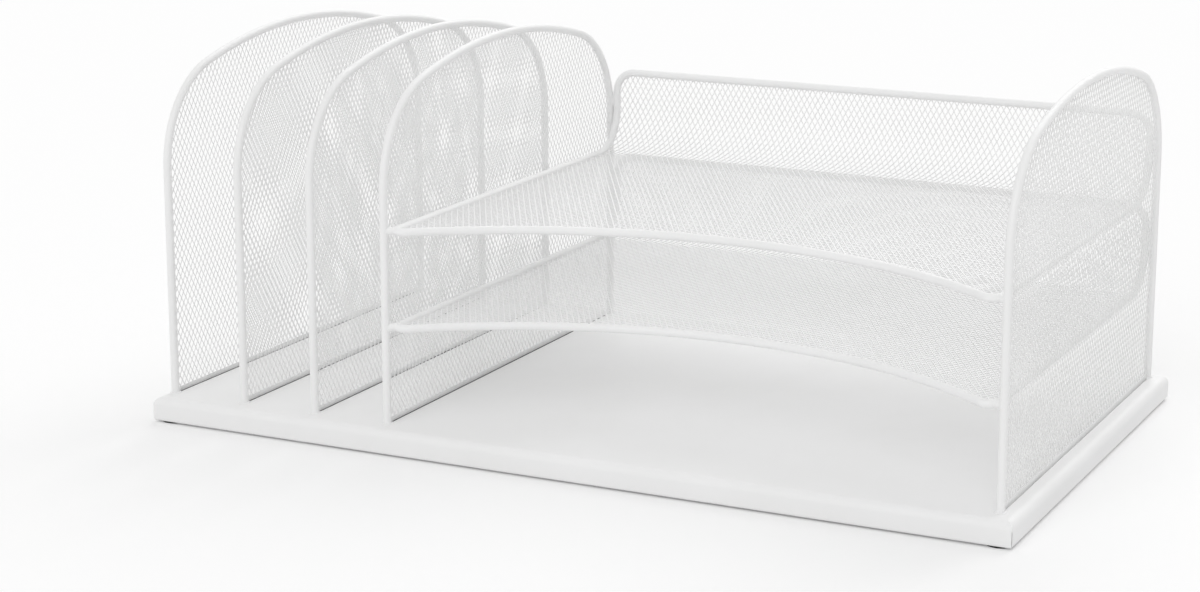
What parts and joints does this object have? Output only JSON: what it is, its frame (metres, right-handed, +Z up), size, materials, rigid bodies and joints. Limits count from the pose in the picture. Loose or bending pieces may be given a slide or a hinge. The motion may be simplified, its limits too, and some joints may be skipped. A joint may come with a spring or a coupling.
{
  "type": "mesh desk organizer",
  "caption": "Free-standing desk organizer in powder-coated steel: upright mesh file dividers and mesh letter trays with scooped fronts on a folded base.",
  "frame": {"origin": "centre of the base on the surface that the foot pads stand on", "axes": "+X to the right along the width, +Y to the back, +Z up"},
  "size_m": [0.4952, 0.2922, 0.2095],
  "materials": {
    "pan_steel": "white powder coat, satin",
    "frame_wire": "white powder coat, satin",
    "expanded_mesh": "white powder coat, satin",
    "foot_pad": "thin black foam rubber"
  },
  "bodies": {
    "root": {"base_pan": "pan_steel", "foot_pad_front_left": "foot_pad", "foot_pad_front_right": "foot_pad", "foot_pad_rear_left": "foot_pad", "foot_pad_rear_right": "foot_pad", "upright_1_wire": "frame_wire", "upright_1_mesh": "expanded_mesh", "upright_2_wire": "frame_wire", "upright_2_mesh": "expanded_mesh", "upright_3_wire": "frame_wire", "upright_3_mesh": "expanded_mesh", "upright_4_wire": "frame_wire", "upright_4_mesh": "expanded_mesh", "upright_5_wire": "frame_wire", "upright_5_mesh": "expanded_mesh", "lower_tray_wire": "frame_wire", "lower_tray_mesh": "expanded_mesh", "upper_tray_wire": "frame_wire", "upper_tray_mesh": "expanded_mesh"}
  },
  "joints": []
}
